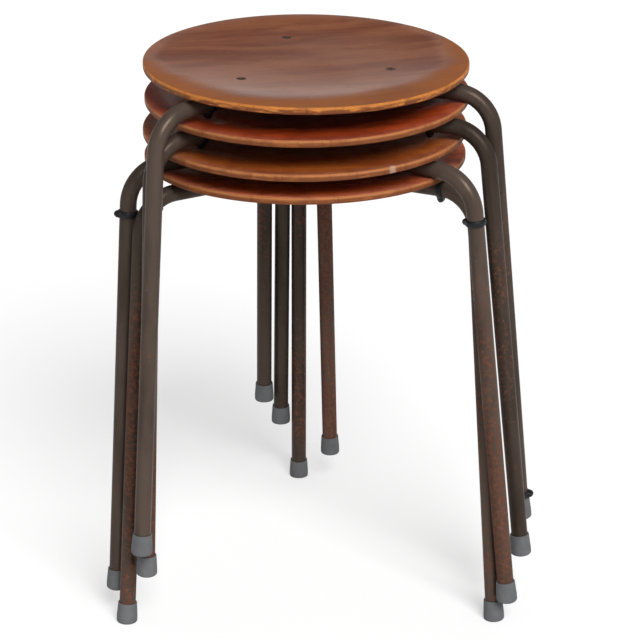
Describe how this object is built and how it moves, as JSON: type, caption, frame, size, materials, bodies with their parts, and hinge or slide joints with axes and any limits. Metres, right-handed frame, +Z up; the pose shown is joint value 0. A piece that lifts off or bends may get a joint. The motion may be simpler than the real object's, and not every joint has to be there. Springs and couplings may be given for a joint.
{
  "type": "stacking stool",
  "caption": "Nested stack of low stools, each a round dished plywood seat on bent steel tube legs with rubber feet and stacking buffers.",
  "frame": {"origin": "on the floor, under the middle of the whole stack's box", "axes": "+Z up along the stack's axis, -Y towards the front between two legs, +X to the right"},
  "size_m": [0.4234, 0.4082, 0.5484],
  "materials": {
    "top_seat_plywood": "brown stain under worn satin lacquer, orange at the rubbed rim",
    "seat_plywood": "orange-red stain under satin lacquer, bare ply layers at the edge",
    "tube_paint": "dark brown semi-gloss paint with rust freckles",
    "bolt_steel": "dark oxidised steel",
    "foot_rubber": "matt grey rubber, scuffed at the sole",
    "buffer_rubber": "matt black rubber"
  },
  "bodies": {
    "stool_1": {"stool_1_seat": "seat_plywood", "stool_1_hub": "tube_paint", "stool_1_leg_back": "tube_paint", "stool_1_foot_back": "foot_rubber", "stool_1_bolt_back": "bolt_steel", "stool_1_buffer_back": "buffer_rubber", "stool_1_leg_left": "tube_paint", "stool_1_foot_left": "foot_rubber", "stool_1_bolt_left": "bolt_steel", "stool_1_buffer_left": "buffer_rubber", "stool_1_leg_right": "tube_paint", "stool_1_foot_right": "foot_rubber", "stool_1_bolt_right": "bolt_steel", "stool_1_buffer_right": "buffer_rubber"},
    "stool_2": {"stool_2_seat": "seat_plywood", "stool_2_hub": "tube_paint", "stool_2_leg_back": "tube_paint", "stool_2_foot_back": "foot_rubber", "stool_2_bolt_back": "bolt_steel", "stool_2_buffer_back": "buffer_rubber", "stool_2_leg_left": "tube_paint", "stool_2_foot_left": "foot_rubber", "stool_2_bolt_left": "bolt_steel", "stool_2_buffer_left": "buffer_rubber", "stool_2_leg_right": "tube_paint", "stool_2_foot_right": "foot_rubber", "stool_2_bolt_right": "bolt_steel", "stool_2_buffer_right": "buffer_rubber"},
    "stool_3": {"stool_3_seat": "seat_plywood", "stool_3_hub": "tube_paint", "stool_3_leg_back": "tube_paint", "stool_3_foot_back": "foot_rubber", "stool_3_bolt_back": "bolt_steel", "stool_3_buffer_back": "buffer_rubber", "stool_3_leg_left": "tube_paint", "stool_3_foot_left": "foot_rubber", "stool_3_bolt_left": "bolt_steel", "stool_3_buffer_left": "buffer_rubber", "stool_3_leg_right": "tube_paint", "stool_3_foot_right": "foot_rubber", "stool_3_bolt_right": "bolt_steel", "stool_3_buffer_right": "buffer_rubber"},
    "stool_4": {"stool_4_seat": "top_seat_plywood", "stool_4_hub": "tube_paint", "stool_4_leg_back": "tube_paint", "stool_4_foot_back": "foot_rubber", "stool_4_bolt_back": "bolt_steel", "stool_4_buffer_back": "buffer_rubber", "stool_4_leg_left": "tube_paint", "stool_4_foot_left": "foot_rubber", "stool_4_bolt_left": "bolt_steel", "stool_4_buffer_left": "buffer_rubber", "stool_4_leg_right": "tube_paint", "stool_4_foot_right": "foot_rubber", "stool_4_bolt_right": "bolt_steel", "stool_4_buffer_right": "buffer_rubber"}
  },
  "joints": [
    {"name": "lift_stool_2", "type": "slide", "parent": "stool_1", "child": "stool_2", "axis": [0, 0, 1], "range_m": [0, 0.44]},
    {"name": "lift_stool_3", "type": "slide", "parent": "stool_2", "child": "stool_3", "axis": [0, 0, 1], "range_m": [0, 0.44]},
    {"name": "lift_stool_4", "type": "slide", "parent": "stool_3", "child": "stool_4", "axis": [0, 0, 1], "range_m": [0, 0.44]}
  ]
}
